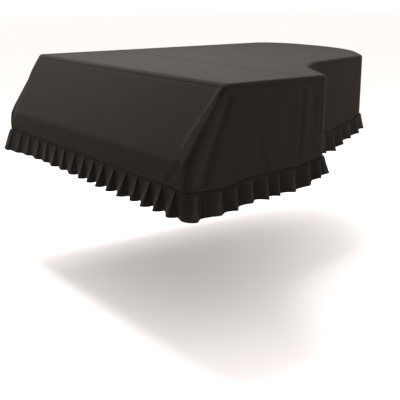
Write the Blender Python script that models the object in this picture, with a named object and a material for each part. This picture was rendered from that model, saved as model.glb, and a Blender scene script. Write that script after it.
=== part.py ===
"""Fitted cloth cover for a grand piano, hollow and open below.

A flat top in two lengths, a sloping front, four side panels that follow the curved case, and a
pleated frill round the lower edge. Lengths are metres. X runs to the treble side, Y to the tail
and Z up. The origin lies on the underside of the top, where the lid carries the cover.
"""
import math
from collections import namedtuple

import bmesh
import bpy
from mathutils import Vector

CLOTH = 0.002
SEAM_GAP = 0.0003

# The case seen from above: depths count from the front of the keyboard
HALF_WIDTH = 0.757
TREBLE_LENGTH = 0.639
TAIL_DEPTH = 1.697
CASE_CORNER = 0.020
ORIGIN_DEPTH = 0.850

# The edge of the lid, and the front that slopes from it to a soft crease
LID_ROUND = 0.017
EDGE_SEAM_DROP = 0.022
LID_SETBACK = 0.166
CREASE_DROP = 0.278
CREASE_SOFTNESS = 0.020
FRONT_LEAN = 0.008

# The seam across the top, where two lengths of cloth are joined
TOP_SEAM_AT_SPINE = 0.600
TOP_SEAM_AT_TREBLE = 0.552

# The frill: its pleats are shallow where they are sewn and deep at the hem
FRILL_STEP = 0.003
FRILL_FLARE = 0.020
PLEAT_AT_SEAM = 0.005
PLEAT_AT_HEM = 0.034
PLEAT_INWARD_SHARE = 0.40
PLEAT_RIDGE = 0.64
PLEAT_DIP = 0.006
PLEAT_DRIFT = 0.10

COLUMN_TURN = math.radians(20)
NORMAL_STEP = 0.0005
SMOOTH_ANGLE = math.radians(40)
CHARCOAL = (0.030, 0.028, 0.026, 1.0)

Corner = namedtuple("Corner", "side x y radius")
PLAN = (
    Corner("front", -HALF_WIDTH, 0.0, CASE_CORNER),
    Corner("treble", HALF_WIDTH, 0.0, CASE_CORNER),
    Corner("bentside", HALF_WIDTH, TREBLE_LENGTH, CASE_CORNER),
    Corner("bentside", 0.283, 1.009, 0.230),
    Corner("tail", 0.237, 1.421, 0.090),
    Corner("tail", -0.024, 1.625, 0.400),
    Corner("tail", -0.300, TAIL_DEPTH, 0.500),
    Corner("tail", -0.620, TAIL_DEPTH, 0.120),
    Corner("spine", -HALF_WIDTH, 1.605, 0.070),
)

# How far below the top the frill is sewn on, and how deep it is, at places round the cover
Hang = namedtuple("Hang", "side share seam_drop frill_depth")
HANGS = (
    Hang("front", 0.00, 0.356, 0.094),
    Hang("front", 0.35, 0.352, 0.094),
    Hang("front", 0.80, 0.372, 0.089),
    Hang("treble", 0.00, 0.370, 0.098),
    Hang("treble", 0.30, 0.358, 0.084),
    Hang("bentside", 0.00, 0.301, 0.096),
    Hang("bentside", 0.55, 0.306, 0.098),
    Hang("tail", 0.00, 0.284, 0.080),
    Hang("spine", 0.00, 0.300, 0.088),
    Hang("spine", 0.60, 0.338, 0.096),
)

# How closely each side is divided, and its number of pleats
Side = namedtuple("Side", "name spacing pleats")
SIDES = (
    Side("front", 0.060, 19),
    Side("treble", 0.036, 9),
    Side("bentside", 0.075, 13),
    Side("tail", 0.080, 14),
    Side("spine", 0.080, 20),
)

# Main folds: each runs along a line on the cloth and rises out of it, or sinks in below zero
Fold = namedtuple("Fold", "start end width rise")
FOLDS = (
    Fold((0.735, 0.105, -0.070), (0.690, 0.020, -0.250), 0.020, 0.007),
    Fold((HALF_WIDTH, 0.085, -0.130), (HALF_WIDTH, 0.000, -0.330), 0.018, -0.007),
    Fold((HALF_WIDTH, 0.145, -0.150), (HALF_WIDTH, 0.060, -0.335), 0.024, -0.007),
    Fold((0.600, 0.000, -0.345), (0.700, 0.000, -0.320), 0.018, -0.006),
    Fold((HALF_WIDTH, 0.330, -0.150), (HALF_WIDTH, 0.310, -0.320), 0.030, -0.004),
    Fold((HALF_WIDTH, 0.480, -0.120), (HALF_WIDTH, 0.470, -0.270), 0.030, -0.004),
)

PANEL_ROWS = (0.0, 0.20, 0.40, 0.58, 0.68, 0.76, 0.84, 1.0)
ROLL_ROWS = 4
FRILL_ROWS = (0.0, 0.30, 0.65, 1.0)
PLEAT_COLUMNS = (0.0, 0.22, 0.43, 0.64, 0.82)

Stretch = namedtuple("Stretch", "start length x y heading curvature")
Bend = namedtuple("Bend", "start end heading turn curvature half_length")


def bend_at(index):
    """The rounding of one corner of the plan, from where it starts to where it ends."""
    before = PLAN[index - 1]
    corner = PLAN[index]
    after = PLAN[(index + 1) % len(PLAN)]
    heading = math.atan2(corner.y - before.y, corner.x - before.x)
    leaving = math.atan2(after.y - corner.y, after.x - corner.x)
    turn = (leaving - heading + math.pi) % math.tau - math.pi
    reach = corner.radius * math.tan(abs(turn) / 2)
    start = (corner.x - reach * math.cos(heading), corner.y - reach * math.sin(heading))
    end = (corner.x + reach * math.cos(leaving), corner.y + reach * math.sin(leaving))
    curvature = math.copysign(1 / corner.radius, turn)
    return Bend(start, end, heading, turn, curvature, corner.radius * abs(turn) / 2)


def along(stretch, distance):
    """Point and heading at a distance along a straight or round stretch."""
    heading = stretch.heading + stretch.curvature * distance
    if stretch.curvature == 0:
        x = stretch.x + distance * math.cos(heading)
        y = stretch.y + distance * math.sin(heading)
    else:
        x = stretch.x + (math.sin(heading) - math.sin(stretch.heading)) / stretch.curvature
        y = stretch.y - (math.cos(heading) - math.cos(stretch.heading)) / stretch.curvature
    return x, y, heading


def plan_stretches():
    """The whole outline, and the run at the middle of each corner, counter-clockwise."""
    bends = [bend_at(index) for index in range(len(PLAN))]
    stretches = []
    marks = []
    run = 0.0
    for index, bend in enumerate(bends):
        following = bends[(index + 1) % len(bends)]
        marks.append(run)
        whole = Stretch(run, bend.half_length, *bend.start, bend.heading, bend.curvature)
        stretches.append(Stretch(run, bend.half_length, *along(whole, bend.half_length), bend.curvature))
        run += bend.half_length
        straight = math.dist(bend.end, following.start)
        stretches.append(Stretch(run, straight, *bend.end, bend.heading + bend.turn, 0))
        run += straight
        stretches.append(
            Stretch(run, following.half_length, *following.start, following.heading, following.curvature)
        )
        run += following.half_length
    return stretches, marks, run


STRETCHES, CORNER_RUNS, GIRTH = plan_stretches()


def side_span(name):
    """Runs at which a side starts and ends."""
    corners = [index for index, corner in enumerate(PLAN) if corner.side == name]
    after = corners[-1] + 1
    end = CORNER_RUNS[after] if after < len(PLAN) else GIRTH
    return CORNER_RUNS[corners[0]], end


SPANS = {side.name: side_span(side.name) for side in SIDES}


def outline(run):
    """Point on the plan and its outward direction at a run round the case."""
    run = run % GIRTH
    stretch = next(item for item in reversed(STRETCHES) if item.start <= run)
    x, y, heading = along(stretch, run - stretch.start)
    return x, y, math.sin(heading), -math.cos(heading)


def hang(run):
    """Drop of the frill's seam and depth of the frill, eased between the rows of HANGS."""
    run = run % GIRTH
    places = []
    for row in HANGS:
        start, end = SPANS[row.side]
        places.append((start + row.share * (end - start), row))
    places.append((GIRTH, HANGS[0]))
    for (low, before), (high, after) in zip(places, places[1:]):
        if run <= high:
            ease = 0.5 - 0.5 * math.cos(math.pi * (run - low) / (high - low))
            drop = before.seam_drop + ease * (after.seam_drop - before.seam_drop)
            depth = before.frill_depth + ease * (after.frill_depth - before.frill_depth)
            return drop, depth


def front_line(height):
    """Depth of the front cloth at a height: it slopes to a soft crease, and leans out a little."""
    slope = LID_SETBACK * (1 + height / CREASE_DROP)
    lean = FRONT_LEAN * height / CREASE_DROP
    return 0.5 * (slope + math.hypot(slope, CREASE_SOFTNESS)) + lean


def pulled_back(depth, height):
    """Depth of a point of the sides, moved back near the front as the front slopes."""
    share = max(0.0, 1 - depth / TREBLE_LENGTH)
    return depth + front_line(height) * share


def edge_profile(fall):
    """Inset from the outline and height, at a distance down from the flat of the top."""
    quarter = LID_ROUND * math.pi / 2
    if fall <= 0:
        return LID_ROUND - fall, 0.0
    if fall < quarter:
        angle = fall / LID_ROUND
        return LID_ROUND * (1 - math.sin(angle)), LID_ROUND * (math.cos(angle) - 1)
    return 0.0, quarter - fall - LID_ROUND


def fall_at(drop):
    """Distance down the cloth at which a side has dropped so far below the top."""
    return drop + LID_ROUND * (math.pi / 2 - 1)


def fold_rise(x, depth, height):
    """How far the main folds lift the cloth at a point."""
    point = Vector((x, depth, height))
    rise = 0.0
    for fold in FOLDS:
        start = Vector(fold.start)
        line = Vector(fold.end) - start
        share = min(1.0, max(0.0, (point - start).dot(line) / line.length_squared))
        distance = (point - start - share * line).length
        rise += fold.rise * math.exp(-((distance / fold.width) ** 2))
    return rise


def place(x, depth, height):
    """Position in the part's frame of a point on the outer face of the cloth."""
    return Vector((x, depth - ORIGIN_DEPTH, height + CLOTH))


def body_point(run, fall):
    """Outer face of the top's edge and of the side panels."""
    x, depth, out_x, out_y = outline(run)
    inset, height = edge_profile(fall)
    x -= out_x * inset
    depth = pulled_back(depth, height) - out_y * inset
    rise = fold_rise(x, depth, height)
    return place(x + out_x * rise, depth + out_y * rise, height)


def waver(run, turns, start):
    """Slow wave round the cover that makes the pleats uneven."""
    return math.sin(math.tau * turns * run / GIRTH + start)


def pleat_wave(phase):
    """Zero in the deep of a pleat and one on its ridge."""
    phase = phase % 1.0
    if phase < PLEAT_RIDGE:
        return 0.5 - 0.5 * math.cos(math.pi * phase / PLEAT_RIDGE)
    return 0.5 + 0.5 * math.cos(math.pi * (phase - PLEAT_RIDGE) / (1 - PLEAT_RIDGE))


def pleat_phase(run):
    """Count of pleats up to a run: a ridge stands on each corner of the cover."""
    run = run % GIRTH
    for side in SIDES:
        start, end = SPANS[side.name]
        if run <= end:
            drift = PLEAT_DRIFT * (waver(run, 23, 0.0) + waver(run, 37, 2.0))
            return side.pleats * (run - start) / (end - start) + PLEAT_RIDGE + drift


def frill_point(run, fall):
    """Outer face of the frill, from its seam at zero to its hem at one."""
    x, depth, out_x, out_y = outline(run)
    drop, frill_depth = hang(run)
    wave = pleat_wave(pleat_phase(run))
    size = 1 + 0.18 * waver(run, 29, 1.0) + 0.12 * waver(run, 43, 0.5)
    pleat = size * (PLEAT_AT_SEAM + (PLEAT_AT_HEM - PLEAT_AT_SEAM) * fall)
    out = FRILL_STEP + FRILL_FLARE * fall + pleat * (wave - PLEAT_INWARD_SHARE)
    height = -drop - SEAM_GAP - fall * (frill_depth + PLEAT_DIP * (wave - 0.5))
    depth = pulled_back(depth, -drop)
    return place(x + out_x * out, depth + out_y * out, height)


def outward(surface, run, fall):
    """Unit normal of a cloth face, measured across a small step each way."""
    across = surface(run + NORMAL_STEP, fall) - surface(run - NORMAL_STEP, fall)
    down = surface(run, fall + NORMAL_STEP) - surface(run, fall - NORMAL_STEP)
    return down.cross(across).normalized()


def spread(start, end, spacing):
    """Runs of the columns between two runs, with more of them round the bends."""
    columns = [start]
    for lap in (-GIRTH, 0.0):
        for stretch in STRETCHES:
            low = max(start, stretch.start + lap)
            high = min(end, stretch.start + stretch.length + lap)
            if high - low > NORMAL_STEP:
                turn = abs(stretch.curvature) * (high - low)
                steps = math.ceil(max((high - low) / spacing, turn / COLUMN_TURN))
                columns += [low + (high - low) * (step + 1) / steps for step in range(steps)]
    return columns


def cloth_rows(surface, columns, fall_rows):
    """Rows of outer and inner points: the inner ones lie one cloth thickness inside."""
    outer = []
    inner = []
    for falls in fall_rows:
        points = [surface(run, fall) for run, fall in zip(columns, falls)]
        normals = [outward(surface, run, fall) for run, fall in zip(columns, falls)]
        outer.append(points)
        inner.append([point - CLOTH * normal for point, normal in zip(points, normals)])
    return outer, inner


def add_grid(mesh, rows):
    """Vertices of a grid of points and the quads between them."""
    grid = [[mesh.verts.new(point) for point in row] for row in rows]
    for upper, lower in zip(grid, grid[1:]):
        for index in range(len(upper) - 1):
            mesh.faces.new((upper[index], lower[index], lower[index + 1], upper[index + 1]))
    return grid


def add_wall(mesh, outer_edge, inner_edge):
    """Strip of quads that joins the edge of the outer face to that of the inner one."""
    pairs = list(zip(outer_edge, inner_edge))
    for (outer_a, inner_a), (outer_b, inner_b) in zip(pairs, pairs[1:]):
        mesh.faces.new((outer_a, outer_b, inner_b, inner_a))


def cloth_material(name):
    """Matt charcoal cloth."""
    material = bpy.data.materials.new(name)
    material.use_nodes = True
    shader = material.node_tree.nodes["Principled BSDF"]
    shader.inputs["Base Color"].default_value = CHARCOAL
    shader.inputs["Roughness"].default_value = 0.9
    return material


def finish_solid(mesh, name, collection):
    """Turn the mesh into an object with outward faces and its own material."""
    bmesh.ops.recalc_face_normals(mesh, faces=mesh.faces)
    bmesh.ops.triangulate(mesh, faces=[face for face in mesh.faces if len(face.verts) > 4])
    data = bpy.data.meshes.new(name)
    mesh.to_mesh(data)
    mesh.free()
    data.materials.append(cloth_material(name))
    data.shade_smooth()
    data.set_sharp_from_angle(angle=SMOOTH_ANGLE)
    collection.objects.link(bpy.data.objects.new(name, data))


def sheet_solid(name, collection, outer_rows, inner_rows):
    """Closed sheet of cloth from its two faces."""
    mesh = bmesh.new()
    outer = add_grid(mesh, outer_rows)
    inner = add_grid(mesh, inner_rows)
    add_wall(mesh, outer[0], inner[0])
    add_wall(mesh, outer[-1], inner[-1])
    add_wall(mesh, [row[0] for row in outer], [row[0] for row in inner])
    add_wall(mesh, [row[-1] for row in outer], [row[-1] for row in inner])
    finish_solid(mesh, name, collection)


def side_panel(side, collection):
    """Panel of one side, from the seam under the lid's edge to the seam of the frill."""
    start, end = SPANS[side.name]
    columns = spread(start + SEAM_GAP / 2, end - SEAM_GAP / 2, side.spacing)
    upper = fall_at(EDGE_SEAM_DROP + SEAM_GAP)
    lower = [fall_at(hang(run)[0]) for run in columns]
    fall_rows = [[upper + share * (low - upper) for low in lower] for share in PANEL_ROWS]
    sheet_solid(f"{side.name}_panel", collection, *cloth_rows(body_point, columns, fall_rows))


def frill(side, collection):
    """Pleated frill of one side, with a ridge at both of its ends."""
    start, end = SPANS[side.name]
    first = start + SEAM_GAP / 2
    last = end - SEAM_GAP / 2
    pitch = (end - start) / side.pleats
    columns = [first]
    for pleat in range(side.pleats):
        for share in PLEAT_COLUMNS:
            run = start + pitch * (pleat + share)
            if first < run < last:
                columns.append(run)
    columns.append(last)
    fall_rows = [[share] * len(columns) for share in FRILL_ROWS]
    sheet_solid(f"frill_{side.name}", collection, *cloth_rows(frill_point, columns, fall_rows))


def seam_runs():
    """Runs at which the seam across the top meets the spine side and the treble side."""
    setback = front_line(0.0)
    stretch = TREBLE_LENGTH / (TREBLE_LENGTH - setback)
    spine_y = (TOP_SEAM_AT_SPINE - setback) * stretch
    treble_y = (TOP_SEAM_AT_TREBLE - setback) * stretch
    treble_start = SPANS["treble"][0]
    corner_slack = CASE_CORNER * (1 - math.pi / 4)
    return -spine_y + corner_slack, treble_start + treble_y - corner_slack


def top_panel(name, collection, start, end, spacing):
    """One length of the top: its flat, and the edge that rolls over the lid all round it."""
    columns = spread(start, end, spacing)
    lowest = fall_at(EDGE_SEAM_DROP)
    fall_rows = [[lowest * row / ROLL_ROWS] * len(columns) for row in range(ROLL_ROWS + 1)]
    outer_rows, inner_rows = cloth_rows(body_point, columns, fall_rows)
    mesh = bmesh.new()
    outer = add_grid(mesh, outer_rows)
    inner = add_grid(mesh, inner_rows)
    add_wall(mesh, outer[-1], inner[-1])
    add_wall(mesh, [row[0] for row in outer], [row[0] for row in inner])
    add_wall(mesh, [row[-1] for row in outer], [row[-1] for row in inner])
    add_wall(mesh, (outer[0][0], outer[0][-1]), (inner[0][0], inner[0][-1]))
    mesh.faces.new(outer[0])
    mesh.faces.new(inner[0])
    finish_solid(mesh, name, collection)


def build_cover():
    """All panels and frills of the cover."""
    for old in list(bpy.data.objects):
        bpy.data.objects.remove(old)
    collection = bpy.data.collections.new("grand_piano_cover")
    bpy.context.scene.collection.children.link(collection)
    at_spine, at_treble = seam_runs()
    top_panel("top_front_panel", collection, at_spine + SEAM_GAP / 2, at_treble - SEAM_GAP / 2, 0.11)
    top_panel("top_rear_panel", collection, at_treble + SEAM_GAP / 2, at_spine + GIRTH - SEAM_GAP / 2, 0.09)
    for side in SIDES:
        side_panel(side, collection)
        frill(side, collection)


build_cover()
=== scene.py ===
"""Look of a fitted grand piano cover: taut stretch jersey over the lid, with a pleated frill.

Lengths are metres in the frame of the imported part: X to the treble side, Y to the tail, Z up,
and the origin under the top cloth. Each sheet of cloth lies on the solid that it replaces.
"""

import math
from collections import namedtuple

import bpy
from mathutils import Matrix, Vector, geometry, noise


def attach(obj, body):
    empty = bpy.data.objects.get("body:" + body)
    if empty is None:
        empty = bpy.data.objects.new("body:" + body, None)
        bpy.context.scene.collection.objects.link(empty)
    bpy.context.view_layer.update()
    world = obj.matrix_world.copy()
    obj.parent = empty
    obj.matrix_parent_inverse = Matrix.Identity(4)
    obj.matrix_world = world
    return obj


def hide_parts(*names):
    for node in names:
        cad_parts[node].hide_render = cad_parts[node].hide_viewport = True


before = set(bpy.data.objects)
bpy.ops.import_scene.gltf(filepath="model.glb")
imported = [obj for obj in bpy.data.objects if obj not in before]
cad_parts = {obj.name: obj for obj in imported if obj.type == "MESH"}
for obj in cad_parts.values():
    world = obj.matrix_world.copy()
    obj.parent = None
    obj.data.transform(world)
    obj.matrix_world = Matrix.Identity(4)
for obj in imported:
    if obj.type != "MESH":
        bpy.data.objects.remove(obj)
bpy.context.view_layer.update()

# Cloth and sewing: the solids are thicker than the cloth, and a seam draws the cloth in beside it
CLOTH = 0.0014
SOLID_CLOTH = 0.002
SEAM_SINK = 0.0010
SEAM_REACH = 0.0045
HEM_DEPTH = 0.009
HEM_LIFT = 0.0008
HEM_STITCH_DIP = 0.0008
HEM_STITCH_REACH = 0.0015
STITCH_LENGTH = 0.0030
STITCH_PITCH = 0.0042
STITCH_THICKNESS = 0.0006
STITCH_MARGIN = 0.0040
STITCH_END_MARGIN = 0.002
SEAM_STITCH_LIFT = 0.0001
HEM_STITCH_LIFT = 0.0002

# Cut sizes of the flat cloths
TOP_FRONT_FLAT = (1.56, 0.48)
TOP_REAR_FLAT = (1.56, 1.20)
TOP_REAR_AREA = 1.26
FRILL_FULLNESS = 1.30

# The case seen from above: depths count from the front of the keyboard
HALF_WIDTH = 0.757
TREBLE_LENGTH = 0.648
TAIL_DEPTH = 1.702
CASE_CORNER = 0.020
TREBLE_CORNER = 0.034
ORIGIN_DEPTH = 0.850

# The edge of the lid, and the front that slopes from it to a crease and hangs below as an apron
LID_ROUND = 0.012
EDGE_SEAM_DROP = 0.017
LID_SETBACK = 0.166
CREASE_DROP = 0.268
CREASE_SOFTNESS = 0.003
FRONT_LEAN = 0.012
APRON_TURN = 0.030

# The seam across the top, and the slow unevenness of the cloth beside it
TOP_SEAM_AT_SPINE = 0.600
TOP_SEAM_AT_TREBLE = 0.552
TOP_RISE = 0.0010
TOP_WAVES = (4.0, 3.0, 0.5)

# The frill: how far out the cloth stands, how far in it falls between, and the dip of its hem
FRILL_TUCK = 0.0034
FRILL_STEP = 0.004
GATHER_DEPTH = 0.010
PLEAT_AT_SEAM = 0.005
PLEAT_AT_HEM = 0.034
PLEAT_INWARD = 0.012
PLEAT_GROWTH = 1.5
PLEAT_DIP = 0.006
PLEAT_DIP_LEVEL = 0.3
PLEAT_DIP_SKEW = 2.6

# Painted values that the jersey reads. Shade darkens seams, creases and the hollows between the
# pleats, and shine lightens the ridges of folds. A reach is a distance, the others are shares
SHADE_REACH = 0.003
SIDE_SEAM_SHADE = 0.22
EDGE_SEAM_SHADE = 0.15
TOP_SEAM_SHADE = 0.70
CREASE_SHADE = 0.55
RIDGE_SHINE = 0.60
MOST_FOLD_PAINT = 0.5
FRILL_SEAM_SHADE = 0.4
HEM_STITCH_SHADE = 0.4
PLEAT_FOLD_SHADE = 0.7
PLEAT_FOLD_AT = 0.72
PLEAT_FOLD_REACH = 0.10
PLEAT_FOLD_FADE = 0.7
HOLLOW_SHADE = 0.68
HOLLOW_SHARPNESS = 1.4
HOLLOW_START = 4
PLEAT_SHINE = 0.4
PLEAT_SHINE_FROM = 0.8
PLEAT_SHINE_FADE = 0.6

# Spacing of the points of the meshes, and how far a bend may turn from one column to the next
SIDE_SPACING = 0.006
SIDE_TURN = math.radians(8)
SIDE_ROWS = 60
SIDE_ROW_EVENNESS = 0.35
EDGE_SPACING = 0.010
EDGE_TURN = math.radians(10)
EDGE_ROWS = 14
TOP_SPACING = 0.022
TOP_ROW_SPACING = 0.866 * TOP_SPACING
TOP_CLEARANCE = 0.006
SEAM_SPACING = 0.008
SEAM_BANDS = (0.003, 0.006, 0.010, 0.016)
SEAM_CLEARANCE = 0.004
STITCH_PATH_SPACING = 0.010
STITCH_PATH_TURN = math.radians(6)
SHORTEST_STRETCH = 1e-6
INSIDE_ONLY = 1
MERGE_DISTANCE = 1e-7

# The floor under the piano, below the origin, and the camera
FLOOR_DROP = 1.006
FLOOR_REACH = 30.0
CAMERA_PLACE = (2.881, -2.369, 0.329)
CAMERA_YAW = math.radians(53.63)
CAMERA_PITCH = math.radians(-15.36)
CAMERA_LENS = 70.2

# Soft lights: one over the top, one from the bass side of the front and one behind the bend
Softbox = namedtuple("Softbox", "name place size power target colour")
SOFTBOXES = (
    Softbox(
        "overhead_softbox", (-0.48, -0.20, 1.25), (1.8, 1.9), 120.0,
        (-0.44, -0.20, 0.0), (0.95, 0.99, 1.05),
    ),
    Softbox(
        "left_softbox", (-2.2, -0.8, 1.9), (1.0, 1.0), 30.0,
        (-0.5, -0.7, -0.2), (1.0, 1.0, 1.0),
    ),
    Softbox(
        "rear_softbox", (2.9, 3.0, 0.6), (1.2, 1.2), 80.0,
        (0.3, 0.3, -0.2), (1.0, 1.0, 1.0),
    ),
)
SURROUND_STRENGTH = 1.03

Corner = namedtuple("Corner", "side x y radius")
PLAN = (
    Corner("front", -HALF_WIDTH, 0.0, CASE_CORNER),
    Corner("treble", HALF_WIDTH, 0.0, CASE_CORNER),
    Corner("bentside", HALF_WIDTH, TREBLE_LENGTH, TREBLE_CORNER),
    Corner("bentside", 0.470, 0.812, 0.350),
    Corner("bentside", 0.352, 0.960, 0.300),
    Corner("tail", 0.237, 1.421, 0.090),
    Corner("tail", -0.024, 1.629, 0.750),
    Corner("tail", -0.300, TAIL_DEPTH, 0.900),
    Corner("tail", -0.625, TAIL_DEPTH, 0.340),
    Corner("spine", -HALF_WIDTH, 1.610, 0.085),
)

Hang = namedtuple("Hang", "side share seam_drop frill_depth flare")
HANGS = (
    Hang("front", 0.00, 0.352, 0.098, 0.044),
    Hang("front", 0.20, 0.354, 0.092, 0.022),
    Hang("front", 0.55, 0.359, 0.093, 0.018),
    Hang("front", 0.90, 0.363, 0.095, 0.017),
    Hang("treble", 0.03, 0.368, 0.099, 0.016),
    Hang("treble", 0.20, 0.371, 0.089, 0.020),
    Hang("treble", 0.47, 0.345, 0.090, 0.020),
    Hang("treble", 0.75, 0.339, 0.089, 0.018),
    Hang("bentside", 0.00, 0.316, 0.072, 0.023),
    Hang("bentside", 0.70, 0.333, 0.095, 0.020),
    Hang("bentside", 0.86, 0.312, 0.078, 0.020),
    Hang("tail", 0.00, 0.286, 0.078, 0.013),
    Hang("spine", 0.00, 0.300, 0.088, 0.016),
    Hang("spine", 0.60, 0.338, 0.096, 0.020),
)

# Pleats of each side in order: their widths, and how deep each one is beside the deepest. The
# first one starts a little before the corner, so that no fold falls on a corner
FRILL_START = -0.013
CORNER_OVERRUN = 0.047
Side = namedtuple("Side", "name widths depths")
SIDES = (
    Side(
        "front",
        (80, 106, 93, 104, 77, 92, 80, 98, 82, 81, 81, 84, 92, 82, 88, 76, 85, 93),
        (
            0.3, 0.25, 0.3, 0.4, 0.3, 0.5, 0.45, 0.6, 0.7,
            0.8, 0.95, 0.9, 1.0, 0.75, 1.0, 0.9, 0.8, 0.6,
        ),
    ),
    Side(
        "treble",
        (105, 61, 73, 71, 53, 82, 74, 47, 66),
        (0.50, 0.60, 0.50, 0.70, 0.55, 0.60, 0.55, 0.45, 0.50),
    ),
    Side(
        "bentside",
        (70, 84, 78, 72, 86, 74, 80, 76, 82, 70, 84, 76, 78),
        (0.4, 0.6, 0.5, 0.7, 0.5, 0.6, 0.8, 0.5, 0.7, 0.6, 0.5, 0.7, 0.6),
    ),
    Side(
        "tail",
        (78, 84, 70, 82, 76, 88, 72, 80, 78, 86, 70, 78, 84, 76),
        (0.6, 0.5, 0.7, 0.6, 0.8, 0.6, 0.5, 0.7, 0.6, 0.8, 0.6, 0.7, 0.5, 0.6),
    ),
    Side(
        "spine",
        (80, 88, 74, 84, 78, 90, 72, 82, 86, 76, 84, 80, 74, 88, 78, 82, 76, 86, 80, 74),
        (
            0.6, 0.8, 0.7, 0.9, 0.6, 0.8, 0.7, 0.9, 0.8, 0.6,
            0.9, 0.7, 0.8, 0.6, 0.9, 0.7, 0.8, 0.7, 0.6, 0.5,
        ),
    ),
)

# Folds in the taut cloth: each runs along a line and rises, or sinks in below zero
Fold = namedtuple("Fold", "start end width rise")
FOLDS = (
    Fold((-HALF_WIDTH, 0.000, -0.262), (-0.720, 0.000, -0.262), 0.034, -0.009),
    Fold((-HALF_WIDTH, 0.083, -0.130), (-HALF_WIDTH, 0.000, -0.258), 0.045, -0.007),
    Fold((-0.720, 0.000, -0.285), (0.640, 0.000, -0.285), 0.008, -0.0012),
    Fold((0.730, 0.155, -0.020), (0.705, 0.085, -0.135), 0.007, 0.006),
    Fold((0.705, 0.085, -0.135), (0.692, 0.030, -0.222), 0.013, 0.006),
    Fold((0.752, 0.150, -0.022), (0.752, 0.060, -0.150), 0.008, -0.009),
    Fold((0.752, 0.060, -0.150), (0.750, 0.000, -0.265), 0.013, -0.008),
    Fold((0.748, 0.000, -0.265), (0.742, -0.010, -0.350), 0.012, -0.008),
    Fold((HALF_WIDTH, 0.130, -0.070), (HALF_WIDTH, 0.060, -0.240), 0.018, 0.003),
    Fold((HALF_WIDTH, 0.060, -0.240), (HALF_WIDTH, 0.022, -0.330), 0.018, 0.004),
    Fold((HALF_WIDTH, 0.176, -0.055), (HALF_WIDTH, 0.108, -0.220), 0.015, -0.006),
    Fold((HALF_WIDTH, 0.108, -0.220), (HALF_WIDTH, 0.066, -0.335), 0.017, -0.007),
    Fold((0.676, 0.000, -0.268), (0.590, 0.000, -0.336), 0.011, 0.0035),
    Fold((0.706, 0.000, -0.276), (0.638, 0.000, -0.337), 0.014, -0.008),
    Fold((0.716, 0.000, -0.317), (0.630, 0.000, -0.358), 0.009, 0.004),
    Fold((0.730, 0.000, -0.330), (0.650, 0.000, -0.366), 0.008, -0.005),
    Fold((0.743, 0.000, -0.344), (0.674, 0.000, -0.368), 0.007, 0.003),
    Fold((HALF_WIDTH, 0.330, -0.150), (HALF_WIDTH, 0.310, -0.320), 0.030, -0.003),
    Fold((HALF_WIDTH, 0.328, -0.260), (HALF_WIDTH, 0.360, -0.338), 0.009, -0.0035),
    Fold((HALF_WIDTH, 0.470, -0.120), (HALF_WIDTH, 0.460, -0.270), 0.024, -0.003),
    Fold((HALF_WIDTH, 0.530, -0.050), (HALF_WIDTH, 0.515, -0.300), 0.010, -0.003),
    Fold((HALF_WIDTH, 0.556, -0.050), (HALF_WIDTH, 0.545, -0.300), 0.010, 0.002),
    Fold((HALF_WIDTH, 0.590, -0.080), (HALF_WIDTH, 0.585, -0.280), 0.009, -0.002),
)

# One pleat across its cloth: how far along its width and how far out it lies, at the seam, where
# it is folded flat, and at the hem, where it opens to a rounded wave
Pleat = namedtuple("Pleat", "cloth seam_along seam_out hem_along hem_out")
PLEAT_SECTION = (
    Pleat(0.00, 0.00, 0.00, 0.00, 0.00),
    Pleat(0.18, 0.30, 0.22, 0.20, 0.20),
    Pleat(0.38, 0.62, 0.62, 0.43, 0.66),
    Pleat(0.50, 0.79, 0.96, 0.56, 0.94),
    Pleat(0.58, 0.84, 1.00, 0.64, 1.00),
    Pleat(0.66, 0.80, 0.70, 0.72, 0.88),
    Pleat(0.78, 0.76, 0.26, 0.82, 0.46),
    Pleat(0.90, 0.87, 0.04, 0.92, 0.10),
    Pleat(1.00, 1.00, 0.00, 1.00, 0.00),
)
PLEAT_STEPS = 22
FRILL_ROWS = (
    -0.04, 0.00, 0.03, 0.06, 0.09, 0.13, 0.18, 0.25, 0.33, 0.42, 0.51, 0.60, 0.69, 0.78,
    0.86, 0.89, 0.90, 0.91, 0.95, 0.985, 1.0,
)

Stretch = namedtuple("Stretch", "start length x y heading curvature")
Bend = namedtuple("Bend", "start end heading turn curvature half_length")


def bend_at(index):
    """The rounding of one corner of the plan, from where it starts to where it ends."""
    before = PLAN[index - 1]
    corner = PLAN[index]
    after = PLAN[(index + 1) % len(PLAN)]
    heading = math.atan2(corner.y - before.y, corner.x - before.x)
    leaving = math.atan2(after.y - corner.y, after.x - corner.x)
    turn = (leaving - heading + math.pi) % math.tau - math.pi
    reach = corner.radius * math.tan(abs(turn) / 2)
    start = (corner.x - reach * math.cos(heading), corner.y - reach * math.sin(heading))
    end = (corner.x + reach * math.cos(leaving), corner.y + reach * math.sin(leaving))
    curvature = math.copysign(1 / corner.radius, turn)
    return Bend(start, end, heading, turn, curvature, corner.radius * abs(turn) / 2)


def along(stretch, distance):
    """Point and heading at a distance along a straight or round stretch."""
    heading = stretch.heading + stretch.curvature * distance
    if stretch.curvature == 0:
        x = stretch.x + distance * math.cos(heading)
        y = stretch.y + distance * math.sin(heading)
    else:
        x = stretch.x + (math.sin(heading) - math.sin(stretch.heading)) / stretch.curvature
        y = stretch.y - (math.cos(heading) - math.cos(stretch.heading)) / stretch.curvature
    return x, y, heading


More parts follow.
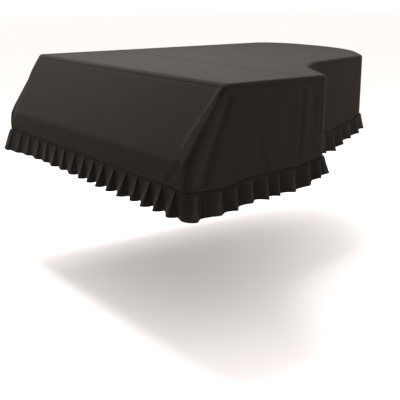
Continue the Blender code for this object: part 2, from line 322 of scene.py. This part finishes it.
def plan_stretches():
    """The whole outline, and the run at the middle of each corner, counter-clockwise."""
    bends = [bend_at(index) for index in range(len(PLAN))]
    stretches = []
    marks = []
    run = 0.0
    for index, bend in enumerate(bends):
        following = bends[(index + 1) % len(bends)]
        marks.append(run)
        half = bend.half_length
        whole = Stretch(run, half, *bend.start, bend.heading, bend.curvature)
        stretches.append(Stretch(run, half, *along(whole, half), bend.curvature))
        run += half
        straight = math.dist(bend.end, following.start)
        stretches.append(Stretch(run, straight, *bend.end, bend.heading + bend.turn, 0))
        run += straight
        half = following.half_length
        stretches.append(
            Stretch(run, half, *following.start, following.heading, following.curvature)
        )
        run += half
    return stretches, marks, run


STRETCHES, CORNER_RUNS, GIRTH = plan_stretches()


def side_span(name):
    """Runs at which a side starts and ends."""
    corners = [index for index, corner in enumerate(PLAN) if corner.side == name]
    after = corners[-1] + 1
    end = CORNER_RUNS[after] if after < len(PLAN) else GIRTH
    return CORNER_RUNS[corners[0]], end


SPANS = {side.name: side_span(side.name) for side in SIDES}


def hang_places():
    """Runs at which the rows of HANGS hold, closed with the first row."""
    places = []
    for row in HANGS:
        start, end = SPANS[row.side]
        places.append((start + row.share * (end - start), row))
    return places + [(GIRTH, HANGS[0])]


HANG_PLACES = hang_places()


def outline(run):
    """Point on the plan and its outward direction at a run round the case."""
    run = run % GIRTH
    stretch = next(item for item in reversed(STRETCHES) if item.start <= run)
    x, y, heading = along(stretch, run - stretch.start)
    return x, y, math.sin(heading), -math.cos(heading)


def eased(share):
    """Smooth step from zero to one."""
    share = min(1.0, max(0.0, share))
    return share * share * (3 - 2 * share)


def near(distance, reach):
    """Share that is one at a line and fades away round it."""
    return math.exp(-((distance / reach) ** 2))


def hang(run):
    """Drop of the frill's seam, and its depth and flare, eased between the rows of HANGS."""
    run = run % GIRTH
    for (low, before), (high, after) in zip(HANG_PLACES, HANG_PLACES[1:]):
        if run <= high:
            ease = 0.5 - 0.5 * math.cos(math.pi * (run - low) / (high - low))
            return [a + ease * (b - a) for a, b in zip(before[2:], after[2:])]


def front_line(height):
    """Depth of the front cloth at a height: it slopes out to a crease, and turns in below it."""
    slope = LID_SETBACK * (1 + height / CREASE_DROP)
    lean = FRONT_LEAN * max(-1.0, height / CREASE_DROP)
    turned_in = APRON_TURN * min(0.0, height + CREASE_DROP)
    return 0.5 * (slope + math.hypot(slope, CREASE_SOFTNESS)) + lean - turned_in


def pulled_back(depth, height):
    """Depth of a point of the sides, moved back near the front as the front slopes."""
    share = max(0.0, 1 - depth / TREBLE_LENGTH)
    return depth + front_line(height) * share


def edge_profile(fall):
    """Inset from the outline and height, at a distance down from the flat of the top."""
    quarter = LID_ROUND * math.pi / 2
    if fall <= 0:
        return LID_ROUND - fall, 0.0
    if fall < quarter:
        angle = fall / LID_ROUND
        return LID_ROUND * (1 - math.sin(angle)), LID_ROUND * (math.cos(angle) - 1)
    return 0.0, quarter - fall - LID_ROUND


def fall_at(drop):
    """Distance down the cloth at which a side has dropped so far below the top."""
    return drop + LID_ROUND * (math.pi / 2 - 1)


FOLD_LINES = [
    (Vector(fold.start), Vector(fold.end) - Vector(fold.start), fold) for fold in FOLDS
]


def fold_rise(x, depth, height):
    """How far the folds lift the cloth at a point, and how sharp its ridge or its valley is."""
    point = Vector((x, depth, height))
    ridge = 0.0
    valley = 0.0
    sharpness = 0.0
    for start, line, fold in FOLD_LINES:
        share = min(1.0, max(0.0, (point - start).dot(line) / line.length_squared))
        distance = (point - start - share * line).length
        if distance < 4 * fold.width:
            rise = fold.rise * near(distance, fold.width)
            ridge = max(ridge, rise)
            valley = min(valley, rise)
            sharpness = max(sharpness, rise / fold.width, key=abs)
    return ridge + valley, sharpness


def place(x, depth, height):
    """Position in the part's frame of a point on the outer face of the cloth."""
    return Vector((x, depth - ORIGIN_DEPTH, height + SOLID_CLOTH))


def seam_sink(distance):
    """How far a seam draws the cloth in at a distance from it."""
    return SEAM_SINK * near(distance, SEAM_REACH)


def body_point(run, fall, sink):
    """Outer face of the top's edge and of the side panels, sunk in by a little at a seam."""
    x, depth, out_x, out_y = outline(run)
    inset, height = edge_profile(fall)
    x -= out_x * inset
    depth = pulled_back(depth, height) - out_y * inset
    rise, sharpness = fold_rise(x, depth, height)
    rise -= sink
    return place(x + out_x * rise, depth + out_y * rise, height), sharpness


def build_materials():
    """Both cloths of the cover, the thread and the floor."""
    return {
        "panel": stretch_jersey("brushed_polyester_jersey"),
        "frill": stretch_jersey("pleated_polyester_jersey"),
        "thread": sewing_thread("spun_polyester_thread"),
        "floor": studio_paper("matt_studio_paper"),
    }


def srgb(code):
    """Linear colour of an sRGB hex value."""
    channels = [int(code[start : start + 2], 16) / 255 for start in (1, 3, 5)]
    linear = [c / 12.92 if c <= 0.04045 else ((c + 0.055) / 1.055) ** 2.4 for c in channels]
    return (*linear, 1.0)


def add_node(tree, kind, settings=(), inputs=(), links=()):
    """Add a node with its settings and input values, and link sockets into it."""
    node = tree.nodes.new(kind)
    for key, value in dict(settings).items():
        setattr(node, key, value)
    for key, value in dict(inputs).items():
        node.inputs[key].default_value = value
    for key, socket in dict(links).items():
        tree.links.new(socket, node.inputs[key])
    return node


def new_material(name):
    """Empty node material and its Principled shader."""
    material = bpy.data.materials.new(name)
    material.use_nodes = True
    tree = material.node_tree
    return material, tree, tree.nodes["Principled BSDF"]


# Real wales are about 0.9 mm apart: wales, courses, pile and the twist of the thread are drawn
# coarser than they are, so that they show in the render
WALE_PITCH = 0.0022
COURSE_PITCH = 0.0030
PILE_GRAIN = 0.0016
TWIST_PITCH = 0.0008
MOTTLE_SIZE = 0.060
RUMPLE_SIZE = 0.045
WAVES_PER_UNIT = 20 / math.tau


def stretch_jersey(name):
    """Warp-knitted polyester, brushed matt: fine ribs, short fibres that catch grazing light."""
    material, tree, shader = new_material(name)
    shader.inputs["Roughness"].default_value = 0.88
    shader.inputs["Specular IOR Level"].default_value = 0.04
    shader.inputs["Sheen Weight"].default_value = 0.085
    shader.inputs["Sheen Roughness"].default_value = 0.30
    shader.inputs["Sheen Tint"].default_value = srgb("#B6B4B2")
    place_uv = add_node(tree, "ShaderNodeUVMap", {"uv_map": "cloth"})
    seam = add_node(tree, "ShaderNodeAttribute", {"attribute_name": "seam_shade"})
    painted_highlight = add_node(tree, "ShaderNodeAttribute", {"attribute_name": "fold_shine"})
    solid = add_node(tree, "ShaderNodeTexCoord")

    mottle = add_node(
        tree, "ShaderNodeTexNoise", {},
        {"Scale": 1 / MOTTLE_SIZE, "Detail": 3.0, "Roughness": 0.55},
        {"Vector": solid.outputs["Object"]},
    )
    grain = add_node(
        tree, "ShaderNodeTexNoise", {}, {"Scale": 1 / PILE_GRAIN, "Detail": 2.0, "Roughness": 0.6},
        {"Vector": place_uv.outputs["UV"]},
    )
    ground = add_node(
        tree, "ShaderNodeMix", {"data_type": "RGBA"}, {"A": srgb("#1A1611"), "B": srgb("#1E1A15")},
        {"Factor": mottle.outputs["Fac"]},
    )
    fibres = add_node(
        tree, "ShaderNodeMix", {"data_type": "RGBA"}, {"B": srgb("#26211C")},
        {"A": ground.outputs["Result"]},
    )
    speckle = add_node(
        tree, "ShaderNodeMapRange", {}, {"From Min": 0.45, "From Max": 0.75, "To Max": 0.45},
        {"Value": grain.outputs["Fac"]},
    )
    tree.links.new(speckle.outputs["Result"], fibres.inputs["Factor"])
    # Painted shade: darkens the cloth along the seams, in the creases and in the hollows between
    # the pleats
    sewn = add_node(
        tree, "ShaderNodeMix", {"data_type": "RGBA"}, {"B": srgb("#0C0B0A")},
        {"A": fibres.outputs["Result"], "Factor": seam.outputs["Fac"]},
    )
    # Painted highlight: lightens the ridges of folds and pleats
    highlighted = add_node(
        tree, "ShaderNodeMix", {"data_type": "RGBA"}, {"B": srgb("#342F2B")},
        {"A": sewn.outputs["Result"], "Factor": painted_highlight.outputs["Fac"]},
    )
    tree.links.new(highlighted.outputs["Result"], shader.inputs["Base Color"])

    ribs = add_node(
        tree, "ShaderNodeTexWave",
        {"wave_type": "BANDS", "bands_direction": "X", "wave_profile": "SIN"},
        {
            "Scale": 1 / WAVES_PER_UNIT / WALE_PITCH,
            "Distortion": 0.6, "Detail": 1.0, "Detail Scale": 1.5,
        },
        {"Vector": place_uv.outputs["UV"]},
    )
    courses = add_node(
        tree, "ShaderNodeTexWave",
        {"wave_type": "BANDS", "bands_direction": "Y", "wave_profile": "SIN"},
        {
            "Scale": 1 / WAVES_PER_UNIT / COURSE_PITCH,
            "Distortion": 0.8, "Detail": 1.0, "Detail Scale": 1.5,
        },
        {"Vector": place_uv.outputs["UV"]},
    )
    rumples = add_node(
        tree, "ShaderNodeTexNoise", {},
        {"Scale": 1 / RUMPLE_SIZE, "Detail": 2.0, "Roughness": 0.5, "Distortion": 0.4},
        {"Vector": solid.outputs["Object"]},
    )
    soft = add_node(
        tree, "ShaderNodeBump", {}, {"Strength": 0.10, "Distance": 0.0030},
        {"Height": rumples.outputs["Fac"]},
    )
    pile = add_node(
        tree, "ShaderNodeBump", {}, {"Strength": 0.30, "Distance": 0.0004},
        {"Height": grain.outputs["Fac"], "Normal": soft.outputs["Normal"]},
    )
    knit = add_node(
        tree, "ShaderNodeBump", {}, {"Strength": 0.45, "Distance": 0.0004},
        {"Height": ribs.outputs["Fac"], "Normal": pile.outputs["Normal"]},
    )
    rows = add_node(
        tree, "ShaderNodeBump", {}, {"Strength": 0.30, "Distance": 0.0003},
        {"Height": courses.outputs["Fac"], "Normal": knit.outputs["Normal"]},
    )
    tree.links.new(rows.outputs["Normal"], shader.inputs["Normal"])
    return material


def sewing_thread(name):
    """Two-ply polyester thread: a little glossier than the cloth, with a twist along it."""
    material, tree, shader = new_material(name)
    shader.inputs["Roughness"].default_value = 0.55
    shader.inputs["Sheen Weight"].default_value = 0.2
    solid = add_node(tree, "ShaderNodeTexCoord")
    twist = add_node(
        tree, "ShaderNodeTexNoise", {}, {"Scale": 1 / TWIST_PITCH, "Detail": 1.0},
        {"Vector": solid.outputs["Object"]},
    )
    colour = add_node(
        tree, "ShaderNodeMix", {"data_type": "RGBA"}, {"A": srgb("#161412"), "B": srgb("#2B2825")},
        {"Factor": twist.outputs["Fac"]},
    )
    tree.links.new(colour.outputs["Result"], shader.inputs["Base Color"])
    return material


def studio_paper(name):
    """Matt white background paper."""
    material, tree, shader = new_material(name)
    shader.inputs["Base Color"].default_value = srgb("#FFF8F5")
    shader.inputs["Roughness"].default_value = 0.95
    shader.inputs["Specular IOR Level"].default_value = 0.1
    return material


MATERIALS = build_materials()


def graded(count, near):
    """Shares from zero to one that are closer together at both ends."""
    return [
        (1 - near) * (0.5 - 0.5 * math.cos(math.pi * step / count)) + near * step / count
        for step in range(count + 1)
    ]


def spread(start, end, spacing, turn_step):
    """Runs of the columns between two runs, with more of them round the bends."""
    columns = [start]
    for lap in (-GIRTH, 0.0):
        for stretch in STRETCHES:
            low = max(start, stretch.start + lap)
            high = min(end, stretch.start + stretch.length + lap)
            if high - low > SHORTEST_STRETCH:
                turn = abs(stretch.curvature) * (high - low)
                steps = math.ceil(max((high - low) / spacing, turn / turn_step))
                columns += [low + (high - low) * (step + 1) / steps for step in range(steps)]
    return columns


def make_cloth(name, points, faces, uvs, shade, shine, material):
    """Thin sheet of cloth from its outer face, with the painted values that its material reads."""
    data = bpy.data.meshes.new(name)
    data.from_pydata(points, [], faces)
    layer = data.uv_layers.new(name="cloth")
    for loop in data.loops:
        layer.data[loop.index].uv = uvs[loop.vertex_index]
    for label, values in (("seam_shade", shade), ("fold_shine", shine)):
        attribute = data.attributes.new(label, "FLOAT", "POINT")
        attribute.data.foreach_set("value", values)
    data.materials.append(material)
    data.shade_smooth()
    piece = bpy.data.objects.new(name, data)
    bpy.context.scene.collection.objects.link(piece)
    thickness = piece.modifiers.new("cloth_thickness", "SOLIDIFY")
    thickness.thickness = CLOTH
    thickness.offset = -1
    thickness.use_quality_normals = True
    return bake(piece)


def bake(piece):
    """Turn an object's modifiers into plain mesh."""
    graph = bpy.context.evaluated_depsgraph_get()
    data = bpy.data.meshes.new_from_object(piece.evaluated_get(graph))
    piece.modifiers.clear()
    old = piece.data
    piece.data = data
    bpy.data.meshes.remove(old)
    data.name = piece.name
    return piece


def grid_faces(rows, columns):
    """Quads of a grid of points numbered row by row, facing outwards."""
    faces = []
    for row in range(rows - 1):
        for column in range(columns - 1):
            first = row * columns + column
            faces.append((first, first + columns, first + columns + 1, first + 1))
    return faces


def fold_paint(strength):
    """Share of shade or shine that a crease or a ridge gets for its sharpness."""
    return min(MOST_FOLD_PAINT, max(0.0, strength))


def side_panel(side):
    """Taut side cloth from the seam under the lid's edge to the seam of the frill."""
    start, end = SPANS[side.name]
    columns = spread(start, end, SIDE_SPACING, SIDE_TURN)
    shares = graded(SIDE_ROWS, SIDE_ROW_EVENNESS)
    upper = fall_at(EDGE_SEAM_DROP)
    points = []
    uvs = []
    shade = []
    shine = []
    for share in shares:
        for run in columns:
            lower = fall_at(hang(run)[0])
            fall = upper + share * (lower - upper)
            to_seam = min(fall - upper, lower - fall)
            point, sharpness = body_point(run, fall, seam_sink(to_seam))
            points.append(point)
            uvs.append((run, -fall))
            # Painted shade along both seams and in the creases, and a painted highlight along the
            # ridges of folds
            sewn = SIDE_SEAM_SHADE * near(to_seam, SHADE_REACH)
            shade.append(sewn + fold_paint(-CREASE_SHADE * sharpness))
            shine.append(fold_paint(RIDGE_SHINE * sharpness))
    faces = grid_faces(len(shares), len(columns))
    name = f"{side.name}_side_cloth"
    return make_cloth(name, points, faces, uvs, shade, shine, MATERIALS["panel"])


def seam_runs():
    """Runs at which the seam across the top meets the spine side and the treble side."""
    setback = front_line(0.0)
    stretch = TREBLE_LENGTH / (TREBLE_LENGTH - setback)
    spine_y = (TOP_SEAM_AT_SPINE - setback) * stretch
    treble_y = (TOP_SEAM_AT_TREBLE - setback) * stretch
    corner_slack = CASE_CORNER * (1 - math.pi / 4)
    return -spine_y + corner_slack, SPANS["treble"][0] + treble_y - corner_slack


def even_points(loop):
    """Even rows of points inside a closed outline, clear of its edge."""
    xs = [point[0] for point in loop]
    ys = [point[1] for point in loop]
    points = []
    row = 0
    y = min(ys) + TOP_SPACING / 2
    while y < max(ys):
        x = min(xs) + TOP_SPACING * (0.5 if row % 2 else 1.0)
        while x < max(xs):
            if inside((x, y), loop) and clear_of((x, y), loop, TOP_CLEARANCE):
                points.append((x, y))
            x += TOP_SPACING
        y += TOP_ROW_SPACING
        row += 1
    return points


def points_beside_seam(seam_spots, away, loop, rim_loop):
    """Rows of points on both sides of the seam across the top, where the cloth sinks in."""
    points = []
    for band in SEAM_BANDS:
        for sign in (-1, 1):
            for seam_spot in seam_spots:
                spot = seam_spot + sign * band * away
                if inside(spot, loop) and clear_of(spot, rim_loop, SEAM_CLEARANCE):
                    points.append(tuple(spot))
    return points


def top_cloth(name, start, end):
    """One length of the top: a flat filled with points, and the edge that rolls over the lid."""
    columns = spread(start, end, EDGE_SPACING, EDGE_TURN)
    lowest = fall_at(EDGE_SEAM_DROP)
    rolls = [lowest * row / EDGE_ROWS for row in range(EDGE_ROWS + 1)]
    points = []
    to_edge = []
    for fall in rolls:
        points += [body_point(run, fall, seam_sink(lowest - fall))[0] for run in columns]
        to_edge += [lowest - fall] * len(columns)
    faces = grid_faces(len(rolls), len(columns))

    rim = points[: len(columns)]
    seam_start = rim[-1]
    seam_line = rim[0] - rim[-1]
    cuts = round(seam_line.length / SEAM_SPACING)
    seam_spots = [(seam_start + seam_line * step / cuts).xy for step in range(1, cuts)]
    away = Vector((-seam_line.y, seam_line.x)).normalized()
    rim_loop = [tuple(point.xy) for point in rim]
    loop = rim_loop + [tuple(spot) for spot in seam_spots]
    inner = even_points(loop) + points_beside_seam(seam_spots, away, loop, rim_loop)
    edges = [(index, (index + 1) % len(loop)) for index in range(len(loop))]
    flat, _, triangles, _, _, _ = geometry.delaunay_2d_cdt(
        [Vector(point) for point in loop + inner], edges, [], INSIDE_ONLY, MERGE_DISTANCE
    )
    index_of = list(range(len(columns)))
    for spot in flat[len(columns) :]:
        index_of.append(len(points))
        distance = seam_distance(spot, seam_start.xy, seam_line.xy)
        height = SOLID_CLOTH + top_rise(spot) - seam_sink(distance)
        points.append(Vector((spot.x, spot.y, height)))
        to_edge.append(lowest)
    for triangle in triangles:
        a, b, c = (index_of[corner] for corner in triangle)
        normal = (points[b] - points[a]).cross(points[c] - points[a])
        faces.append((a, b, c) if normal.z > 0 else (a, c, b))

    uvs = [(point.x, point.y) for point in points]
    shade = []
    for point, edge in zip(points, to_edge):
        distance = seam_distance(point.xy, seam_start.xy, seam_line.xy)
        # Painted shade along the seam under the lid's edge and along the seam across the top
        sewn_edge = EDGE_SEAM_SHADE * near(edge, SHADE_REACH)
        shade.append(sewn_edge + TOP_SEAM_SHADE * near(distance, SEAM_REACH))
    shine = [0.0] * len(points)
    return make_cloth(name, points, faces, uvs, shade, shine, MATERIALS["panel"])


def seam_distance(spot, start, line):
    """Distance of a place on the top from the seam across it."""
    return abs(line.cross(spot - start)) / line.length


def inside(spot, loop):
    """Whether a place lies inside a closed outline."""
    x, y = spot
    crossings = 0
    for (ax, ay), (bx, by) in zip(loop, loop[1:] + loop[:1]):
        if (ay > y) != (by > y) and x < ax + (y - ay) * (bx - ax) / (by - ay):
            crossings += 1
    return crossings % 2 == 1


def clear_of(spot, loop, reach):
    """Whether a place keeps its distance from every point of an outline."""
    x, y = spot
    return all((px - x) ** 2 + (py - y) ** 2 > reach * reach for px, py in loop)


def top_rise(spot):
    """Slow unevenness of the cloth where it lies on the lid."""
    across, back, layer = TOP_WAVES
    return TOP_RISE * noise.noise(Vector((spot[0] * across, spot[1] * back, layer)))


def pleat_value(index, field):
    """One value of a row of PLEAT_SECTION, carried on into the pleats before and after."""
    pleats, row = divmod(index, len(PLEAT_SECTION) - 1)
    whole = PLEAT_SECTION[-1][field] - PLEAT_SECTION[0][field]
    return PLEAT_SECTION[row][field] + pleats * whole


def pleat_shape(share):
    """Row of PLEAT_SECTION at a share of the cloth of one pleat, on a smooth curve."""
    rows = PLEAT_SECTION
    index = max(i for i, row in enumerate(rows) if row.cloth <= share + 1e-9)
    index = min(index, len(rows) - 2)
    step = (share - rows[index].cloth) / (rows[index + 1].cloth - rows[index].cloth)
    values = []
    for field in range(1, 5):
        before, a, b, after = (pleat_value(index + shift, field) for shift in (-1, 0, 1, 2))
        slope_a = (b - before) / 2
        slope_b = (after - a) / 2
        values.append(
            a * (2 * step**3 - 3 * step**2 + 1) + b * (3 * step**2 - 2 * step**3)
            + slope_a * (step**3 - 2 * step**2 + step) + slope_b * (step**3 - step**2)
        )
    return values


def pleat_starts(side):
    """Run at which each pleat of a side starts, and where the last one ends."""
    start, end = SPANS[side.name]
    first = start + (FRILL_START if side.name == "front" else CORNER_OVERRUN)
    last = end + (FRILL_START if side.name == "spine" else CORNER_OVERRUN)
    scale = (last - first) / sum(side.widths)
    starts = [first]
    for width in side.widths:
        starts.append(starts[-1] + width * scale)
    return starts


PLEAT_STARTS = {side.name: pleat_starts(side) for side in SIDES}


def frill_point(side, number, share, fall, lift):
    """Point of the frill at a share of the cloth of one pleat, from seam at zero to hem at one."""
    starts = PLEAT_STARTS[side.name]
    width = starts[number + 1] - starts[number]
    seam_along, seam_out, hem_along, hem_out = pleat_shape(share)
    down = min(1.0, max(0.0, fall))
    opened = eased(down)
    run = starts[number] + width * (seam_along + (hem_along - seam_along) * opened)
    wave = seam_out + (hem_out - seam_out) * opened
    x, depth, out_x, out_y = outline(run)
    drop, frill_depth, flare = hang(run)
    grown = down**PLEAT_GROWTH
    pleat = PLEAT_AT_SEAM * (1 - down) + PLEAT_AT_HEM * side.depths[number] * grown
    gathered = eased(fall * frill_depth / GATHER_DEPTH)
    out = gathered * (FRILL_STEP + pleat * wave) + flare * down - PLEAT_INWARD * grown
    out += lift - FRILL_TUCK * (1 - gathered)
    sag = math.sin(math.pi * share**PLEAT_DIP_SKEW) - PLEAT_DIP_LEVEL
    height = -drop - fall * frill_depth - down * PLEAT_DIP * side.depths[number] * sag
    depth = pulled_back(depth, -drop)
    return place(x + out_x * out, depth + out_y * out, height), wave


def frill_cloth(side):
    """Pleated frill of one side: folded flat at the seam and open at its turned hem."""
    pleats = len(side.widths)
    steps = [step / PLEAT_STEPS for step in range(PLEAT_STEPS)]
    columns = [(number, step) for number in range(pleats) for step in steps]
    columns.append((pleats - 1, 1.0))
    depth = HANGS[0].frill_depth
    cloth_width = FRILL_FULLNESS * sum(side.widths) / 1000 / pleats
    points = []
    uvs = []
    shade = []
    shine = []
    for fall in FRILL_ROWS:
        up = (1 - fall) * depth
        hem_lift = HEM_LIFT if up < HEM_DEPTH else 0.0
        stitched = near(up - HEM_DEPTH, HEM_STITCH_REACH)
        sewn = near(fall * depth, SHADE_REACH)
        for number, share in columns:
            lift = hem_lift - HEM_STITCH_DIP * stitched
            point, wave = frill_point(side, number, share, fall, lift)
            points.append(point)
            uvs.append(((number + share) * cloth_width, -fall * depth))
            # Painted shade along the seam, along the hem's stitching, in the fold beside each
            # pleat's ridge and in the hollows between the pleats, and a painted highlight on the
            # ridges
            folded = near(share - PLEAT_FOLD_AT, PLEAT_FOLD_REACH)
            folded *= 1 - PLEAT_FOLD_FADE * max(0.0, fall)
            hollow = max(0.0, 1 - wave) ** HOLLOW_SHARPNESS * eased(fall * HOLLOW_START)
            dark = FRILL_SEAM_SHADE * sewn + HEM_STITCH_SHADE * stitched
            dark += PLEAT_FOLD_SHADE * folded + HOLLOW_SHADE * hollow
            shade.append(min(1.0, dark))
            raised = eased((wave - PLEAT_SHINE_FROM) / (1 - PLEAT_SHINE_FROM))
            shine.append(PLEAT_SHINE * raised * (1 - PLEAT_SHINE_FADE * fall))
    faces = grid_faces(len(FRILL_ROWS), len(columns))
    name = f"{side.name}_frill_cloth"
    return make_cloth(name, points, faces, uvs, shade, shine, MATERIALS["frill"])


def stitch_tree():
    """Geometry Nodes group that lays short thread stitches along a sewn line."""
    tree = bpy.data.node_groups.new("stitches_along_a_seam", "GeometryNodeTree")
    tree.interface.new_socket("Seam", in_out="INPUT", socket_type="NodeSocketGeometry")
    for label in ("Pitch", "Length", "Thickness"):
        tree.interface.new_socket(label, in_out="INPUT", socket_type="NodeSocketFloat")
    tree.interface.new_socket("Thread", in_out="INPUT", socket_type="NodeSocketMaterial")
    tree.interface.new_socket("Stitches", in_out="OUTPUT", socket_type="NodeSocketGeometry")
    given = add_node(tree, "NodeGroupInput")
    curve = add_node(tree, "GeometryNodeMeshToCurve", {}, {}, {"Mesh": given.outputs["Seam"]})
    even = add_node(
        tree, "GeometryNodeCurveToPoints", {"mode": "LENGTH"}, {},
        {"Curve": curve.outputs["Curve"], "Length": given.outputs["Pitch"]},
    )
    half = add_node(
        tree, "ShaderNodeMath", {"operation": "MULTIPLY"}, {1: 0.5},
        {0: given.outputs["Thickness"]},
    )
    stitch = add_node(
        tree, "GeometryNodeMeshUVSphere", {}, {"Segments": 6, "Rings": 4},
        {"Radius": half.outputs["Value"]},
    )
    ratio = add_node(
        tree, "ShaderNodeMath", {"operation": "DIVIDE"}, {},
        {0: given.outputs["Length"], 1: given.outputs["Thickness"]},
    )
    size = add_node(
        tree, "ShaderNodeCombineXYZ", {}, {"X": 1.0, "Y": 1.0}, {"Z": ratio.outputs["Value"]}
    )
    placed = add_node(
        tree, "GeometryNodeInstanceOnPoints", {}, {},
        {
            "Points": even.outputs["Points"],
            "Instance": stitch.outputs["Mesh"],
            "Rotation": even.outputs["Rotation"],
            "Scale": size.outputs["Vector"],
        },
    )
    real = add_node(
        tree, "GeometryNodeRealizeInstances", {}, {}, {"Geometry": placed.outputs["Instances"]}
    )
    thread = add_node(
        tree, "GeometryNodeSetMaterial", {}, {},
        {"Geometry": real.outputs["Geometry"], "Material": given.outputs["Thread"]},
    )
    result = add_node(tree, "NodeGroupOutput")
    tree.links.new(thread.outputs["Geometry"], result.inputs["Stitches"])
    return tree


STITCHES = stitch_tree()


def stitch_line(name, path):
    """Row of stitches along a path of points."""
    data = bpy.data.meshes.new(name)
    data.from_pydata(path, [(index, index + 1) for index in range(len(path) - 1)], [])
    piece = bpy.data.objects.new(name, data)
    bpy.context.scene.collection.objects.link(piece)
    sewing = piece.modifiers.new("sewing", "NODES")
    sewing.node_group = STITCHES
    values = {
        "Pitch": STITCH_PITCH,
        "Length": STITCH_LENGTH,
        "Thickness": STITCH_THICKNESS,
        "Thread": MATERIALS["thread"],
    }
    for item in STITCHES.interface.items_tree:
        if item.item_type == "SOCKET" and item.name in values:
            sewing[item.identifier] = values[item.name]
    bake(piece)
    piece.data.shade_smooth()
    return piece


def hem_stitches(side):
    """Thread that holds the turned hem of one frill."""
    fall = 1 - HEM_DEPTH / HANGS[0].frill_depth
    steps = 2 * PLEAT_STEPS
    path = [
        frill_point(side, number, step / steps, fall, HEM_STITCH_LIFT)[0]
        for number in range(len(side.widths))
        for step in range(steps)
    ]
    return stitch_line(f"{side.name}_hem_thread", path)


def seam_stitches(side):
    """Thread that holds the frill to one side panel, just above the seam."""
    start, end = SPANS[side.name]
    start += STITCH_END_MARGIN
    end -= STITCH_END_MARGIN
    path = []
    for run in spread(start, end, STITCH_PATH_SPACING, STITCH_PATH_TURN):
        fall = fall_at(hang(run)[0]) - STITCH_MARGIN
        path.append(body_point(run, fall, seam_sink(STITCH_MARGIN) - SEAM_STITCH_LIFT)[0])
    return stitch_line(f"{side.name}_seam_thread", path)


def add_cover():
    """All cloths and threads of the cover, each riding on the part; the model's panels and frills
    that the cloths replace are hidden.
    """
    at_spine, at_treble = seam_runs()
    tops = (
        ("top_front", at_spine, at_treble, TOP_FRONT_FLAT, None),
        ("top_rear", at_treble, at_spine + GIRTH, TOP_REAR_FLAT, TOP_REAR_AREA),
    )
    for name, start, end, flat, area in tops:
        cloth = top_cloth(f"{name}_cloth", start, end)
        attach(cloth, "root")
        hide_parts(f"{name}_panel")
    for side in SIDES:
        panel = side_panel(side)
        seam_thread = seam_stitches(side)
        frill = frill_cloth(side)
        hem_thread = hem_stitches(side)
        for piece, slot in (
            (panel, "panel_cloth"), (seam_thread, "panel_cloth"),
            (frill, "frill_cloth"), (hem_thread, "frill_cloth"),
        ):
            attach(piece, "root")
        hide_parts(f"{side.name}_panel")
        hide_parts(f"frill_{side.name}")
        start, end = SPANS[side.name]


def add_floor():
    """Pale floor at the height on which the piano stands."""
    data = bpy.data.meshes.new("studio_floor")
    corners = [
        (x * FLOOR_REACH, y * FLOOR_REACH, -FLOOR_DROP)
        for x, y in ((-1, -1), (1, -1), (1, 1), (-1, 1))
    ]
    data.from_pydata(corners, [], [(0, 1, 2, 3)])
    data.materials.append(MATERIALS["floor"])
    floor = bpy.data.objects.new("studio_floor", data)
    bpy.context.scene.collection.objects.link(floor)


def add_softbox(box):
    """Soft rectangular light that faces its target."""
    data = bpy.data.lights.new(box.name, "AREA")
    data.shape = "RECTANGLE"
    data.size, data.size_y = box.size
    data.energy = box.power
    data.color = box.colour
    light = bpy.data.objects.new(box.name, data)
    light.location = box.place
    facing = Vector(box.target) - Vector(box.place)
    light.rotation_euler = facing.to_track_quat("-Z", "Y").to_euler()
    bpy.context.scene.collection.objects.link(light)


def add_studio():
    """Plain soft studio light, mostly from above, and a bright even surround."""
    for box in SOFTBOXES:
        add_softbox(box)
    world = bpy.data.worlds.new("studio_surround")
    world.use_nodes = True
    background = world.node_tree.nodes["Background"]
    background.inputs["Color"].default_value = (1.0, 1.0, 1.0, 1.0)
    background.inputs["Strength"].default_value = SURROUND_STRENGTH
    bpy.context.scene.world = world
    bpy.context.scene.view_settings.view_transform = "Standard"


def add_camera():
    """Camera at the photograph's angle."""
    data = bpy.data.cameras.new("photo_camera")
    data.lens = CAMERA_LENS
    camera = bpy.data.objects.new("photo_camera", data)
    camera.location = CAMERA_PLACE
    camera.rotation_euler = (math.pi / 2 + CAMERA_PITCH, 0.0, CAMERA_YAW)
    bpy.context.scene.collection.objects.link(camera)
    bpy.context.scene.camera = camera


add_cover()
add_floor()
add_studio()
add_camera()
